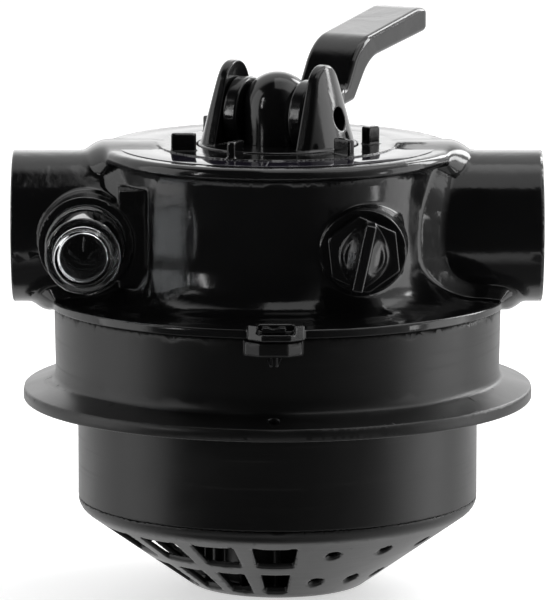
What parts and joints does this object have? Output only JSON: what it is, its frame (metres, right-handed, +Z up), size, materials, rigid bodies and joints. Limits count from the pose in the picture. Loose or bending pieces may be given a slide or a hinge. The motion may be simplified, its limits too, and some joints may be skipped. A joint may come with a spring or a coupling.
{
  "type": "top-mount multiport valve",
  "caption": "Black top-mount multiport valve for a pool sand filter: side ports, lever handle with rotor, sight glass, winged plug, clamp flange and slotted diffuser.",
  "frame": {"origin": "centre of the standpipe socket's mouth, on the bottom face of the diffuser", "axes": "+Z up along the valve's axis, +X along the right port, -Y towards the sight glass and the winged plug"},
  "size_m": [0.23, 0.2341, 0.241],
  "materials": {
    "black_plastic": "glossy moulded ABS with a fine flow texture",
    "neck_plastic": "satin moulded ABS with faint turning scuffs",
    "label": "dark printed label under clear gloss film",
    "clear_plastic": "clear polycarbonate",
    "steel": "stainless steel",
    "rubber": "moulded rubber",
    "white_plastic": "smooth low-friction washer",
    "rotor_plastic": "grey glass-filled moulding"
  },
  "bodies": {
    "housing": {"port_body": "black_plastic", "label_plate": "label", "yoke_washer": "white_plastic", "spring_washer": "steel", "spider_gasket": "rubber", "port_plate": "neck_plastic", "body_o_ring": "rubber", "neck_flange": "neck_plastic", "flange_o_ring": "rubber", "diffuser": "neck_plastic", "standpipe_seal": "rubber", "lock_pin": "black_plastic", "sight_glass": "clear_plastic", "sight_glass_o_ring": "rubber"},
    "yoke": {"yoke": "black_plastic"},
    "handle": {"handle": "black_plastic"},
    "rotor_stack": {"stem": "black_plastic", "stem_pin": "steel", "stem_o_rings": "rubber", "rotor": "rotor_plastic", "rotor_screw": "steel", "rotor_spring": "steel"},
    "plug_seal": {"plug_o_ring": "rubber"},
    "plug": {"plug": "black_plastic"}
  },
  "joints": [
    {"name": "handle_turn", "type": "hinge", "parent": "housing", "child": "yoke", "pos_m": [0, 0, 0.195], "axis": [0, 0, 1], "continuous": true},
    {"name": "handle_press", "type": "hinge", "parent": "rotor_stack", "child": "handle", "pos_m": [0, 0, 0.2065], "axis": [-0.8988, 0.4384, 0], "range_deg": [0, 8.02], "stiffness_Nm_per_rad": 6, "springref_deg": -17.19},
    {"name": "stem_lift", "type": "slide", "parent": "yoke", "child": "rotor_stack", "axis": [0, 0, 1], "range_m": [0, 0.0022], "deforming": ["rotor_spring"]},
    {"name": "plug_travel", "type": "slide", "parent": "housing", "child": "plug_seal", "axis": [0, -1, 0], "range_m": [0, 0.01088]},
    {"name": "plug_turn", "type": "hinge", "parent": "plug_seal", "child": "plug", "pos_m": [0.0365, -0.075, 0.1572], "axis": [0, -1, 0], "range_deg": [0, 2161]}
  ],
  "couplings": [
    {"joint": "handle_press", "follows": "stem_lift", "rad_per_m": 63.467},
    {"joint": "plug_turn", "follows": "plug_travel", "rad_per_m": 3465}
  ]
}
